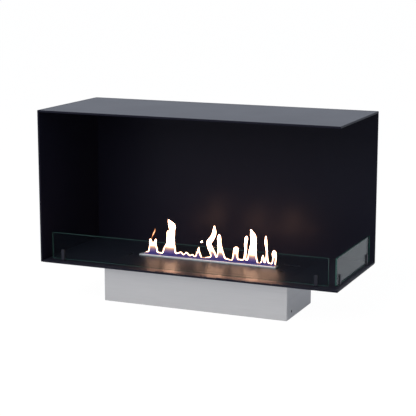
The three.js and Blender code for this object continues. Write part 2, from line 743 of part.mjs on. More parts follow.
function addButton() {
  const head = rod('z', buttonRadius, [plateUnder, plateTop], buttonCentre);
  const flange = rod('z', buttonFlangeRadius, [flangeUnder, plateUnder], buttonCentre);
  const stemZ = [flangeUnder - buttonStemLength, flangeUnder];
  const stem = rod('z', buttonStemRadius, stemZ, buttonCentre, smallSides);
  add('start_button', join(head, flange, stem), blackenedSteel());

  const xs = about(buttonCentre[0], switchSize);
  const ys = about(buttonCentre[1], switchSize);
  const body = block(xs, ys, [switchTop - switchHeight, switchTop]);
  const walls = [
    block(xs, [ys[0], ys[0] + switchWall], [switchTop, plateUnder]),
    block(xs, [ys[1] - switchWall, ys[1]], [switchTop, plateUnder]),
  ];
  const boreZ = [switchTop - switchHeight / 2, switchTop];
  const bore = rod('z', buttonStemRadius + fitGap, boreZ, buttonCentre, smallSides);
  add('button_switch', cut(join(body, ...walls), bore), blackPlastic());
}

// A round-wire compression spring between the switch and the button's flange.
class SpringCurve extends THREE.Curve {
  getPoint(t) {
    const angle = t * springTurns * Math.PI * 2;
    const low = switchTop + springGap + springWire;
    const high = flangeUnder - springGap - springWire;
    return new THREE.Vector3(
      buttonCentre[0] + springRadius * Math.cos(angle),
      buttonCentre[1] + springRadius * Math.sin(angle),
      low + (high - low) * t,
    );
  }
}

function addSpring() {
  const section = new THREE.Shape();
  section.absarc(0, 0, springWire, 0, Math.PI * 2);
  const geometry = new THREE.ExtrudeGeometry(section, {
    steps: springTurns * springSteps,
    extrudePath: new SpringCurve(),
    bevelEnabled: false,
    curveSegments: arcSteps,
  });
  add('button_spring', toSolid(geometry), plainSteel());
}

function addLens() {
  const ys = about(-lensFromCentre, lensLength);
  const xs = about(buttonX, lensWidth);
  const window = block(xs, ys, [plateUnder, plateTop]);
  const flangeZ = [plateUnder - lensFlangeThickness, plateUnder];
  const flange = block(inset(xs, -lensFlange), inset(ys, -lensFlange), flangeZ);
  add('status_lens', join(window, flange), blackPlastic());
}

// ---- Electronics, pump and hoses ----

const boardX = [boardLeft, boardLeft + boardLength];
const boardY = about(0, boardDepth);
const boardUnder = boardTop - boardThickness;
const connectorTop = boardTop + connectorHeight;
const connectorAt = (name) => [boardLeft + connectorPlaces[name][0], connectorPlaces[name][1]];

function addBoard() {
  const postPlaces = [];
  for (const x of inset(boardX, postInset)) {
    for (const y of inset(boardY, postInset)) postPlaces.push([x, y]);
  }
  const baseZ = [housingSheet, housingSheet + traySheet];
  const base = block(inset(boardX, -trayMargin), inset(boardY, -trayMargin), baseZ);
  const postZ = [housingSheet, boardUnder];
  const posts = postPlaces.map((place) => rod('z', postRadius, postZ, place, smallSides));
  add('board_tray', join(base, ...posts), plainSteel());

  const card = block(boardX, boardY, [boardUnder, boardTop]);
  const plugs = Object.keys(connectorPlaces).map(connectorAt).map(([x, y]) =>
    block(about(x, connectorSize), about(y, connectorSize), [boardTop, connectorTop]));
  const relayX = [boardLeft + relayFromLeft, boardLeft + relayFromLeft + relayLength];
  const relay = block(relayX, [-relayDepth, 0], [boardTop, boardTop + relayHeight]);
  add('control_board', join(card, relay, ...plugs), boardGreen());
}

const nippleTop = pumpZ + pumpHeadSize / 2 + nippleHeight;
const pumpHeadX = [pumpX + pumpLength / 2 - pumpHeadLength, pumpX + pumpLength / 2];
const suctionPort = [mean(pumpHeadX), pumpY + nippleOffset];
const deliveryPort = [mean(pumpHeadX), pumpY - nippleOffset];

function addPump() {
  const motor = rod('x', pumpRadius, [pumpX - pumpLength / 2, pumpHeadX[0]], [pumpY, pumpZ]);
  const head = block(pumpHeadX, about(pumpY, pumpHeadSize), about(pumpZ, pumpHeadSize));
  const ports = [suctionPort, deliveryPort].map((port) =>
    rod('z', nippleRadius, [pumpZ + pumpHeadSize / 2, nippleTop], port, smallSides));
  add('fuel_pump', join(motor, head, ...ports), plainSteel());

  // An upright sheet against the head, folded to a foot on the housing's floor.
  const bracketX = [pumpHeadX[1], pumpHeadX[1] + bracketSheet];
  const bracketY = about(pumpY, pumpHeadSize);
  const upright = block(bracketX, bracketY, [housingSheet, pumpZ + pumpHeadSize / 2]);
  const footX = [bracketX[0], bracketX[0] + bracketWidth];
  const foot = block(footX, bracketY, [housingSheet, housingSheet + bracketSheet]);
  add('pump_bracket', join(upright, foot), plainSteel());
}

function addHoses() {
  const [dipX, dipY] = dipCentre;
  const [suctionX, suctionY] = suctionPort;
  const suctionTop = tankTop + hoseBend;
  add('suction_hose', tube([
    [dipX, dipY, housingSheet + tankSheet + hoseInTankGap],
    [dipX, dipY, tankTop / 2],
    [dipX, dipY, tankTop],
    [dipX - hoseBend / 4, dipY, suctionTop - hoseBend / 3],
    [dipX - hoseBend, dipY, suctionTop],
    [mean([dipX, suctionX]), mean([dipY, suctionY]), suctionTop],
    [suctionX + hoseBend / 2, suctionY, suctionTop - hoseBend / 4],
    [suctionX, suctionY, suctionTop - hoseBend],
    [suctionX, suctionY, nippleTop + fitGap],
  ], hoseRadius, hoseSteps), hoseRubber());

  const [inX, inY] = fuelInlet;
  const [outX, outY] = deliveryPort;
  const crossing = shieldBottom - hoseRoom;
  add('delivery_hose', tube([
    [outX, outY, nippleTop + fitGap],
    [outX, outY, nippleTop + hoseBend / 2],
    [outX - hoseBend / 3, outY - hoseBend / 4, crossing - hoseBend / 4],
    [outX - hoseBend, outY - hoseBend / 2, crossing],
    [mean([outX, inX]), mean([outY, inY]), crossing],
    [inX + hoseBend, inY + hoseBend / 4, crossing],
    [inX + hoseBend / 8, inY, crossing + hoseBend / 3],
    [inX, inY, shieldBottom],
    [inX, inY, troughBottom],
    [inX, inY, troughBottom + troughSheet + hoseRadius],
  ], hoseRadius, hoseSteps), hoseRubber());
}

const plugTop = connectorTop + fitGap;

// A wire from a probe's terminal end down to its connector.
function addProbeWire(probe) {
  const [x, y] = connectorAt(probe.name);
  const start = -shieldHalfX - probeTail - fitGap;
  const side = (probe.place > 0 ? wireBend : -wireBend) / 2;
  add(`wire_${probe.name}`, tube([
    [start, probe.place, probeZ],
    [start - wireBend / 2, probe.place, probeZ],
    [start - wireBend, probe.place + side, probeZ - wireBend],
    [mean([start - wireBend, x]), mean([probe.place, y]) + side, mean([probeZ, plugTop])],
    [x, y, plugTop + wireBend],
    [x, y, plugTop],
  ], wireRadius, wireSteps), hoseRubber());
}

function addSwitchWire() {
  const [startX, startY] = buttonCentre;
  const [x, y] = connectorAt('button');
  const start = switchTop - switchHeight - fitGap;
  add('wire_switch', tube([
    [startX, startY, start],
    [startX, startY, start - wireBend],
    [mean([startX, x]), mean([startY, y]), mean([start, plugTop])],
    [x, y, plugTop + wireBend],
    [x, y, plugTop],
  ], wireRadius, wireSteps), hoseRubber());
}

function addPumpWire() {
  const [x, y] = connectorAt('pump');
  const start = pumpX - pumpLength / 2 - fitGap;
  add('wire_pump', tube([
    [start, pumpY, pumpZ],
    [start - wireBend / 2, pumpY, pumpZ],
    [start - wireBend * 1.5, pumpY - wireBend / 2, pumpZ + wireBend / 2],
    [x + wireBend / 2, y + wireBend / 2, plugTop + wireBend],
    [x, y, plugTop + wireBend * 0.75],
    [x, y, plugTop],
  ], wireRadius, wireSteps), hoseRubber());
}

// The lead from the power inlet, in front of the tank to the board.
function addInletWire() {
  const [x, y] = connectorAt('inlet');
  const plugZ = boardTop + connectorHeight / 2;
  const plugY = y - connectorSize / 2 - fitGap;
  const [startX, startY, startZ] = [innerHalfX - inletLength - fitGap, ...inletCentre];
  const lane = -(innerHalfY + tankDepth / 2) / 2;
  const turn = mean([tankRight, startX]);
  add('wire_inlet', tube([
    [startX, startY, startZ],
    [startX - wireBend / 4, startY, startZ],
    [turn, startY - wireBend / 2, startZ],
    [turn, lane + wireBend, mean([startZ, wireRise])],
    [turn - wireBend, lane, wireRise],
    [tankRight - wireBend * 3, lane, wireRise],
    [mean([tankLeft, tankRight]), lane, wireRise],
    [tankLeft, lane, wireRise],
    [x + wireBend * 5, lane + wireBend / 2, wireRise],
    [x + wireBend, plugY - wireBend * 2.5, mean([wireRise, plugZ])],
    [x, plugY - wireBend, plugZ],
    [x, plugY, plugZ],
  ], wireRadius, longWireSteps), hoseRubber());
}

// ---- Assembly ----

addFloor();
addTop();
addLeft();
addBack();
addGlass();
clips.forEach(addClip);
addHousing();
addPlate();
plateScrews.forEach(addPlateScrew);
addRim();
addTrough();
addShield();
probes.forEach(addProbe);
addTank();
addGauge();
addFiller();
addHatch();
addButton();
addSpring();
addLens();
addBoard();
addPump();
addHoses();
addInlet();
probes.forEach(addProbeWire);
addSwitchWire();
addPumpWire();
addInletWire();

export default group;
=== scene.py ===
"""Looks for a bioethanol fireplace insert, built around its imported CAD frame."""

import contextlib
import math

import bmesh
import bpy
import numpy as np
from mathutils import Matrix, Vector


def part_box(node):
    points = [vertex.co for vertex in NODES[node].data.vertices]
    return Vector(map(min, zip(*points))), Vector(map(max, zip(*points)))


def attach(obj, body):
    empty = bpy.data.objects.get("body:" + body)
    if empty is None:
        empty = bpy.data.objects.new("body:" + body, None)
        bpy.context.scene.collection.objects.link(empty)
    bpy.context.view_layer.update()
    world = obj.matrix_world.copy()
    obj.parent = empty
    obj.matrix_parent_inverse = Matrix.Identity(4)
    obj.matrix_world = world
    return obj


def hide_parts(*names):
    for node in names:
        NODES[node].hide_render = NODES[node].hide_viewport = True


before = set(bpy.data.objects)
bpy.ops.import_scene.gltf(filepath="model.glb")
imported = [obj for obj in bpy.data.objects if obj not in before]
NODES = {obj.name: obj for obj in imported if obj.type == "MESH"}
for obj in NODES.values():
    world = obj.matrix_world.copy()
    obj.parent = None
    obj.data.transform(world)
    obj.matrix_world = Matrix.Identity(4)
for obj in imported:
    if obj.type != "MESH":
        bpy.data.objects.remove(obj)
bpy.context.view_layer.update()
MM = 0.001


# ---- Camera ----

CAMERA_PLACE = (1.6096, -3.7691, 1.1224)
CAMERA_AZIMUTH = math.radians(23.10)
CAMERA_ELEVATION = math.radians(11.22)
SENSOR = 36.0  # millimetres
PICTURE_WIDTH = 416
FOCAL_PIXELS = 1307.9


def add_camera():
    data = bpy.data.cameras.new("camera")
    data.sensor_width = SENSOR
    data.lens = SENSOR * FOCAL_PIXELS / PICTURE_WIDTH
    data.clip_end = 200
    camera = bpy.data.objects.new("camera", data)
    bpy.context.scene.collection.objects.link(camera)
    tilt = math.pi / 2 - CAMERA_ELEVATION
    camera.location = CAMERA_PLACE
    camera.rotation_euler = (tilt, 0, CAMERA_AZIMUTH)
    bpy.context.scene.camera = camera


# ---- Shader helpers ----

class Paint:
    """A material made of nodes, with a Principled shader at its end."""

    def __init__(self, name, **constants):
        self.material = bpy.data.materials.new(name)
        self.material.use_nodes = True
        self.tree = self.material.node_tree
        self.shader = self.tree.nodes["Principled BSDF"]
        for socket, value in constants.items():
            self.shader.inputs[socket.replace("_", " ")].default_value = value

    def node(self, kind, inputs=None, **settings):
        made = self.tree.nodes.new("ShaderNode" + kind)
        for key, value in settings.items():
            setattr(made, key, value)
        for key, value in (inputs or {}).items():
            self.feed(made.inputs[key], value)
        return made

    def feed(self, socket, value):
        if isinstance(value, bpy.types.NodeSocket):
            self.tree.links.new(value, socket)
        else:
            socket.default_value = value

    def place(self, scale=(1, 1, 1)):
        """The point on the piece, in metres, stretched by scale."""
        point = self.node("TexCoord").outputs["Object"]
        return self.node("Mapping", {"Vector": point, "Scale": scale}).outputs["Vector"]

    def noise(self, scale, stretch=(1, 1, 1), detail=2.0, roughness=0.5):
        inputs = {"Vector": self.place(stretch), "Scale": scale, "Detail": detail, "Roughness": roughness}
        return self.node("TexNoise", inputs).outputs["Fac"]

    def span(self, value, low, high, start=0.0, end=1.0):
        """value, which runs from start to end, turned into a number from low to high."""
        inputs = {"Value": value, "From Min": start, "From Max": end, "To Min": low, "To Max": high}
        return self.node("MapRange", inputs).outputs["Result"]

    def ramp(self, value, *stops):
        made = self.node("ValToRGB", {"Fac": value})
        elements = made.color_ramp.elements
        elements[0].position, elements[1].position = stops[0][0], stops[-1][0]
        for at, _ in stops[1:-1]:
            elements.new(at)
        for at, colour in stops:
            nearest = min(elements, key=lambda element: abs(element.position - at))
            nearest.color = (*colour, 1)
        return made.outputs["Color"]

    def bump(self, height, strength, distance):
        made = self.node("Bump", {"Height": height, "Strength": strength, "Distance": distance})
        if self.shader.inputs["Normal"].is_linked:
            before = self.shader.inputs["Normal"].links[0].from_socket
            self.feed(made.inputs["Normal"], before)
        self.feed(self.shader.inputs["Normal"], made.outputs["Normal"])

    def set(self, socket, value):
        self.feed(self.shader.inputs[socket], value)


# ---- Materials ----

def powder_coat(name, sheen, low, high, peel):
    """Bluish black, satin, with a fine orange-peel texture. low and high bound its roughness."""
    paint = Paint(name, IOR=1.5, Specular_IOR_Level=sheen)
    shades = (0.3, (0.0060, 0.0060, 0.0113)), (0.7, (0.0067, 0.0067, 0.0123))
    paint.set("Base Color", paint.ramp(paint.noise(5, detail=4), *shades))
    paint.set("Roughness", paint.span(paint.noise(7, detail=2), low, high, 0.3, 0.7))
    paint.bump(paint.noise(1100, detail=2), peel, 0.0001)
    return paint.material


def brushed_steel(name, grain, colour, shine):
    """Brushed metal whose grain is fine across the axes with a large number in grain."""
    paint = Paint(name, Metallic=1.0)
    streak = paint.noise(1, grain, detail=5, roughness=0.65)
    wide = paint.noise(1, [g * 0.09 for g in grain], detail=3)
    low = [c * 0.88 for c in colour]
    paint.set("Base Color", paint.ramp(streak, (0.32, low), (0.7, colour)))
    both = paint.node("Math", {0: streak, 1: wide}, operation="ADD").outputs["Value"]
    paint.set("Roughness", paint.span(both, shine - 0.07, shine + 0.08, 0.7, 1.3))
    paint.bump(streak, 0.22, 0.00006)
    return paint.material


def mill_steel(name, colour, shine):
    """Plain sheet or turned metal with a soft, uneven finish."""
    paint = Paint(name, Metallic=1.0)
    cloud = paint.noise(60, detail=5)
    low = [c * 0.8 for c in colour]
    paint.set("Base Color", paint.ramp(cloud, (0.3, low), (0.7, colour)))
    paint.set("Roughness", paint.span(cloud, shine - 0.08, shine + 0.08, 0.3, 0.7))
    paint.bump(paint.noise(900, detail=3), 0.12, 0.00008)
    return paint.material


def heated_steel():
    """Stainless steel tinted straw and blue where the fire has heated it."""
    paint = Paint("heated_steel", Metallic=1.0)
    cloud = paint.noise(18, detail=5)
    stops = (0.3, (0.36, 0.30, 0.22)), (0.5, (0.30, 0.22, 0.17)), (0.68, (0.16, 0.17, 0.24))
    paint.set("Base Color", paint.ramp(cloud, *stops))
    paint.set("Roughness", paint.span(cloud, 0.34, 0.5, 0.3, 0.7))
    paint.bump(paint.noise(700, detail=3), 0.15, 0.0001)
    return paint.material


def clear_glass():
    """Toughened float glass, faintly green. Its index is low, because the panes mirror little."""
    paint = Paint("clear_glass", IOR=1.15, Transmission_Weight=1.0, Roughness=0.0)
    haze = paint.noise(9, detail=3)
    paint.set("Base Color", paint.ramp(haze, (0.3, (0.64, 0.70, 0.69)), (0.7, (0.66, 0.72, 0.71))))
    paint.set("Specular Tint", (0.10, 0.19, 0.28, 1))
    return paint.material


def glass_edge():
    """The polished edge of a pane, where the glass looks a deeper green."""
    paint = Paint("glass_edge", IOR=1.5, Specular_IOR_Level=0.12)
    haze = paint.noise(40, detail=3)
    paint.set("Base Color", paint.ramp(haze, (0.3, (0.017, 0.050, 0.043)), (0.7, (0.026, 0.072, 0.061))))
    paint.set("Roughness", paint.span(haze, 0.12, 0.22, 0.3, 0.7))
    paint.bump(paint.noise(600, detail=2), 0.05, 0.00005)
    return paint.material


def moulded_plastic(name, colour, shine, grain=1600):
    paint = Paint(name, Specular_IOR_Level=0.4)
    cloud = paint.noise(30, detail=3)
    low = [c * 0.75 for c in colour]
    paint.set("Base Color", paint.ramp(cloud, (0.3, low), (0.7, colour)))
    paint.set("Roughness", paint.span(cloud, shine - 0.05, shine + 0.05, 0.3, 0.7))
    paint.bump(paint.noise(grain, detail=2), 0.2, 0.00006)
    return paint.material


def soft_rubber(name, colour):
    paint = Paint(name, Specular_IOR_Level=0.3)
    cloud = paint.noise(120, detail=4)
    low = [c * 0.7 for c in colour]
    paint.set("Base Color", paint.ramp(cloud, (0.3, low), (0.7, colour)))
    paint.set("Roughness", paint.span(cloud, 0.62, 0.78, 0.3, 0.7))
    paint.bump(paint.noise(1300, detail=3), 0.25, 0.00008)
    return paint.material


def ceramic_fibre():
    """Compressed white fibre, matte, with loose strands on its surface."""
    paint = Paint("ceramic_fibre", Specular_IOR_Level=0.1)
    strands = paint.noise(1, (900, 260, 260), detail=6, roughness=0.7)
    paint.set("Base Color", paint.ramp(strands, (0.3, (0.52, 0.47, 0.40)), (0.7, (0.80, 0.77, 0.70))))
    paint.set("Roughness", paint.span(strands, 0.85, 0.98, 0.3, 0.7))
    paint.bump(strands, 0.6, 0.0006)
    return paint.material


def circuit_board():
    """Green solder resist with faint lighter tracks under it."""
    paint = Paint("circuit_board", Specular_IOR_Level=0.5, Coat_Weight=0.4, Coat_Roughness=0.2)
    inputs = {"Vector": paint.place(), "Scale": 260.0}
    cells = paint.node("TexVoronoi", inputs, distance="MANHATTAN", feature="DISTANCE_TO_EDGE")
    tracks = cells.outputs["Distance"]
    paint.set("Base Color", paint.ramp(tracks, (0.03, (0.035, 0.16, 0.07)), (0.08, (0.012, 0.065, 0.03))))
    paint.set("Roughness", paint.span(paint.noise(90), 0.3, 0.42, 0.3, 0.7))
    paint.bump(tracks, 0.2, 0.0001)
    return paint.material


FLAME_STRENGTH = 21.0


def flame_light():
    """Burning vapour: blue and thin at the foot, white-hot above, orange at the rim."""
    paint = Paint("flame", Roughness=1.0, Specular_IOR_Level=0.0)
    paint.set("Base Color", (0, 0, 0, 1))
    warmth = paint.node("Attribute", attribute_name="warmth").outputs["Fac"]
    rim = paint.node("Attribute", attribute_name="rim").outputs["Fac"]
    body = paint.ramp(
        warmth,
        (0.0, (0.00363, 0.00259, 0.0132)),
        (0.28, (0.0127, 0.00725, 0.0181)),
        (0.5, (0.0446, 0.0223, 0.0171)),
        (0.75, (0.114, 0.0637, 0.0404)),
        (1.0, (1.0, 0.53, 0.34)),
    )
    edge = paint.ramp(
        rim,
        (0.0, (0.015, 0.00389, 0.0013)),
        (0.4, (0.0674, 0.0233, 0.00725)),
        (1.0, (0.212, 0.109, 0.0596)),
    )
    mixed = paint.node("Mix", data_type="RGBA")
    paint.feed(mixed.inputs[0], paint.span(rim, 1.0, 0.0, 0.35, 1.0))
    paint.feed(mixed.inputs[6], body)
    paint.feed(mixed.inputs[7], edge)
    paint.set("Emission Color", mixed.outputs[2])
    paint.set("Emission Strength", FLAME_STRENGTH)
    solid = paint.span(warmth, 0.55, 1.0, 0.0, 0.7)
    cover = paint.node("Math", {0: solid, 1: paint.span(rim, 0.0, 1.0, 0.0, 0.5)}, operation="MULTIPLY")
    paint.set("Alpha", cover.outputs["Value"])
    return paint.material


# ---- Mesh helpers ----

def new_piece(name, vertices, faces, materials, smooth=True):
    mesh = bpy.data.meshes.new(name)
    mesh.from_pydata([tuple(v) for v in vertices], [], [tuple(f) for f in faces])
    mesh.validate()
    piece = bpy.data.objects.new(name, mesh)
    bpy.context.scene.collection.objects.link(piece)
    for material in materials:
        mesh.materials.append(material)
    for polygon in mesh.polygons:
        polygon.use_smooth = smooth
    return piece


def dress(piece, body, slot, *replaced):
    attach(piece, body)
    if replaced:
        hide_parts(*replaced)
    return piece


@contextlib.contextmanager
def edited(piece):
    """The piece's mesh, open for changes, which are written back at the end."""
    mesh = bmesh.new()
    mesh.from_mesh(piece.data)
    yield mesh
    mesh.to_mesh(piece.data)
    mesh.free()


def face_outwards(piece):
    with edited(piece) as mesh:
        bmesh.ops.recalc_face_normals(mesh, faces=mesh.faces)


def bevel(piece, width, angle):
    """Rounds the edges that are sharper than the angle, for good."""
    limit = math.radians(angle)
    with edited(piece) as mesh:
        sharp = [e for e in mesh.edges if len(e.link_faces) == 2 and e.calc_face_angle(0) > limit]
        bmesh.ops.bevel(mesh, geom=sharp, offset=width, segments=2, profile=0.5, affect="EDGES")


SAME_POINT = 0.001 * MM
SAME_PLANE = math.radians(0.5)
LEVEL = 0.95  # a face looks straight up or down if its normal's z is past this
SOFTENED_ANGLE = 25


def soften(node, body, slot, width, walls=None):
    """A copy of a CAD piece with its sharp edges rounded, which takes that piece's place.

    walls is the material of the faces that don't look straight up or down.
    """
    source = NODES[node]
    piece = bpy.data.objects.new("soft_" + node, source.data.copy())
    piece.matrix_world = source.matrix_world
    bpy.context.scene.collection.objects.link(piece)
    with edited(piece) as mesh:
        bmesh.ops.remove_doubles(mesh, verts=mesh.verts, dist=SAME_POINT)
        if width:
            bmesh.ops.dissolve_limit(mesh, angle_limit=SAME_PLANE, verts=mesh.verts, edges=mesh.edges)
    if width:
        bevel(piece, width, SOFTENED_ANGLE)
    if walls:
        piece.data.materials.append(walls)
    for polygon in piece.data.polygons:
        polygon.use_smooth = False
        if walls and abs(polygon.normal.z) < LEVEL:
            polygon.material_index = 1
    return dress(piece, body, slot, node)


def extrude_outline(name, outline, depth, frame_axes, origin, materials):
    """A prism: the outline lies in the first two axes, and the third is its depth, about the origin."""
    u, v, w = (Vector(axis) for axis in frame_axes)
    origin = Vector(origin)
    count = len(outline)
    rows = []
    for end in (-depth / 2, depth / 2):
        rows += [origin + u * a + v * b + w * end for a, b in outline]
    faces = [list(range(count))[::-1], list(range(count, 2 * count))]
    for i in range(count):
        j = (i + 1) % count
        faces.append([i, j, count + j, count + i])
    piece = new_piece(name, rows, faces, materials, smooth=False)
    face_outwards(piece)
    return piece


def arc(centre, radius, start, end, steps):
    """Points on a round corner, angles in degrees."""
    points = []
    for i in range(steps + 1):
        angle = math.radians(start + (end - start) * i / steps)
        points.append((centre[0] + radius * math.cos(angle), centre[1] + radius * math.sin(angle)))
    return points


# ---- Glass guards ----

PANE_CORNER = 4 * MM
PANE_ARRIS = 0.5 * MM
PANE_SHARP_ANGLE = 30


def add_pane(node, body, glass, edge):
    """A pane with rounded corners and ground edges."""
    low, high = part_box(node)
    size = high - low
    centre = (low + high) / 2
    along = 0 if size.x > size.y else 1
    across = 1 - along
    half, tall, thick = size[along] / 2, size.z / 2, size[across]
    reach, rise = half - PANE_CORNER, tall - PANE_CORNER
    outline = arc((reach, rise), PANE_CORNER, 0, 90, 5)
    outline += arc((-reach, rise), PANE_CORNER, 90, 180, 5)
    outline += arc((-reach, -rise), PANE_CORNER, 180, 270, 5)
    outline += arc((reach, -rise), PANE_CORNER, 270, 360, 5)
    axes = [Vector((0, 0, 0)) for _ in range(3)]
    axes[0][along] = 1
    axes[1].z = 1
    axes[2][across] = 1
    pane = extrude_outline("pane_" + node, outline, thick, axes, centre, [glass, edge])
    bevel(pane, PANE_ARRIS, PANE_SHARP_ANGLE)
    for polygon in pane.data.polygons:
        facing = abs(polygon.normal[across]) > 0.99
        polygon.material_index = 0 if facing else 1
        polygon.use_smooth = not facing
    pane.visible_shadow = False  # lamplight reaches what is behind the glass
    return dress(pane, body, "glass", node)


# ---- Clips ----

CLIP_SHEET = 2 * MM
CLIP_BEND = 2.6 * MM  # outer radius of a fold
CLIP_TIP = 0.7 * MM  # rounding of a leg's outer tip
CLIP_EDGE = 0.5 * MM  # rounding of the strip's cut edges
CLIP_SHARP_ANGLE = 50


def add_clip(node, coat):
    """A strip folded up into a U, with rounded folds."""
    low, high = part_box(node)
    size = high - low
    if size.x > size.y:
        axes, half, depth = ((0, 1, 0), (0, 0, 1), (1, 0, 0)), size.y / 2, size.x
    else:
        axes, half, depth = ((1, 0, 0), (0, 0, 1), (0, 1, 0)), size.x / 2, size.y
    tall = size.z
    inner = half - CLIP_SHEET
    bend = CLIP_BEND - CLIP_SHEET
    outline = arc((half - CLIP_TIP, tall - CLIP_TIP), CLIP_TIP, 0, 90, 3)
    outline += [(inner, tall)]
    outline += arc((inner - bend, CLIP_SHEET + bend), bend, 0, -90, 4)
    outline += arc((bend - inner, CLIP_SHEET + bend), bend, -90, -180, 4)
    outline += [(-inner, tall)]
    outline += arc((CLIP_TIP - half, tall - CLIP_TIP), CLIP_TIP, 90, 180, 3)
    outline += arc((CLIP_BEND - half, CLIP_BEND), CLIP_BEND, 180, 270, 5)
    outline += arc((half - CLIP_BEND, CLIP_BEND), CLIP_BEND, 270, 360, 5)
    centre = (low + high) / 2
    centre.z = low.z
    clip = extrude_outline("folded_" + node, outline, depth, axes, centre, [coat])
    bevel(clip, CLIP_EDGE, CLIP_SHARP_ANGLE)
    return dress(clip, "casing", "black_steel", node)


# ---- Turned pieces: the filler cap and the screws ----

TURNED_SMOOTH = math.radians(32)  # a turned piece's edges shade softly below this angle

CAP_SKIRT = 12 * MM
CAP_TOP = 4 * MM
CAP_ROOM = 16.5 * MM  # radius of the space for the neck
CAP_FOOT = 0.6 * MM  # chamfer of the skirt's lower rim
CAP_BAND = 1.0 * MM  # plain band above that chamfer
CAP_RUN_OUT = 0.4 * MM  # over which the flutes begin and end
CAP_ROUNDING = 1.6 * MM  # the top's rim
CAP_ROUNDING_STEPS = 4
CAP_FLUTES = 40
FLUTE_DEPTH = 0.45 * MM
FLUTE_SIDES = 6

GRIP_WIDTH = 8 * MM
GRIP_INSET = 2 * MM
GRIP_END_STEPS = 12
GRIP_SUNK = 0.5 * MM  # how far the grip reaches into the cap
GRIP_TAPER = [(0.8 * MM, 0.7 * MM), (0.2 * MM, 1.0 * MM), (0, 1.6 * MM)]  # (below its top, drawn in)

SCREW_SHANK = 2 * MM
SCREW_POINT = (0.4 * MM, 0.5 * MM)  # chamfer at the shank's end, across and up
SCREW_RIM = (0.1 * MM, 0.15 * MM)  # edge of the head, in from its radius and down from its face
SCREW_FACE = 0.25 * MM  # from the head's radius to its flat face
SCREW_SIDES = 48
KEY_HALF = 1.25 * MM  # half the width across the hexagon's flats
KEY_CHAMFER = (0.2 * MM, 0.15 * MM)
KEY_DEPTH = 1.4 * MM
KEY_END = (0.2 * MM, 1.9 * MM)  # the drilled cone's end, radius and depth


def round_shape(radius, angle):
    return radius


def fluted_shape(radius, angle):
    return radius - FLUTE_DEPTH * (0.5 - 0.5 * math.cos(CAP_FLUTES * angle))


def hexagon_shape(radius, angle):
    return radius / math.cos((angle + math.pi / 6) % (math.pi / 3) - math.pi / 6)


def turned(name, profile, sides, centre, material):
    """A closed solid turned about a vertical line. The profile's rows are (radius, height, shape)."""
    vertices, faces = [], []
    for radius, height, shape in profile:
        for k in range(sides):
            angle = 2 * math.pi * k / sides
            reach = shape(radius, angle)
            vertices.append((centre.x + reach * math.cos(angle), centre.y + reach * math.sin(angle), height))
    for row in range(len(profile) - 1):
        for k in range(sides):
            a, b = row * sides + k, row * sides + (k + 1) % sides
            faces.append((a, b, b + sides, a + sides))
    faces.append(range(sides)[::-1])
    faces.append(range((len(profile) - 1) * sides, len(profile) * sides))
    piece = new_piece(name, vertices, faces, [material])
    face_outwards(piece)
    with edited(piece) as mesh:
        for line in mesh.edges:
            line.smooth = line.calc_face_angle(0) < TURNED_SMOOTH
    return piece


def add_cap(plastic):
    """A fluted cap with a rounded rim and a tapered grip across it."""
    low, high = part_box("filler_cap")
    centre = (low + high) / 2
    radius = (high.x - low.x) / 2
    under = low.z + CAP_SKIRT
    top = under + CAP_TOP
    foot = low.z + CAP_FOOT
    flutes_from = foot + CAP_BAND
    flutes_to = top - CAP_ROUNDING - CAP_FOOT
    profile = [
        (CAP_ROOM, under, round_shape),
        (CAP_ROOM, foot, round_shape),
        (CAP_ROOM + CAP_FOOT, low.z, round_shape),
        (radius - CAP_FOOT, low.z, round_shape),
        (radius, foot, round_shape),
        (radius, flutes_from, round_shape),
        (radius, flutes_from + CAP_RUN_OUT, fluted_shape),
        (radius, flutes_to - CAP_RUN_OUT, fluted_shape),
        (radius, flutes_to, round_shape),
    ]
    for x, y in arc((radius - CAP_ROUNDING, top - CAP_ROUNDING), CAP_ROUNDING, 0, 90, CAP_ROUNDING_STEPS):
        profile.append((x, y, round_shape))
    cap = turned("fluted_filler_cap", profile, CAP_FLUTES * FLUTE_SIDES, centre, plastic)
    add_grip(cap, centre, radius - GRIP_INSET, top, high.z)
    return dress(cap, "cap", "black_plastic", "filler_cap")


def add_grip(cap, centre, length, cap_top, grip_top):
    """A bar with round ends and drawn-in top edges, joined to the cap's mesh."""
    half = GRIP_WIDTH / 2
    outline = arc((0, length - half), half, 0, 180, GRIP_END_STEPS)
    outline += arc((0, half - length), half, 180, 360, GRIP_END_STEPS)
    levels = [(cap_top - GRIP_SUNK, 0.0)]
    levels += [(grip_top - down, drawn_in) for down, drawn_in in GRIP_TAPER]
    with edited(cap) as mesh:
        rows = []
        for height, drawn_in in levels:
            scale_x, scale_y = (half - drawn_in) / half, (length - drawn_in) / length
            points = [(centre.x + x * scale_x, centre.y + y * scale_y, height) for x, y in outline]
            rows.append([mesh.verts.new(point) for point in points])
        for lower, upper in zip(rows, rows[1:]):
            for k in range(len(outline)):
                j = (k + 1) % len(outline)
                mesh.faces.new((lower[k], lower[j], upper[j], upper[k]))
        mesh.faces.new(rows[-1])
        mesh.faces.new(rows[0][::-1])


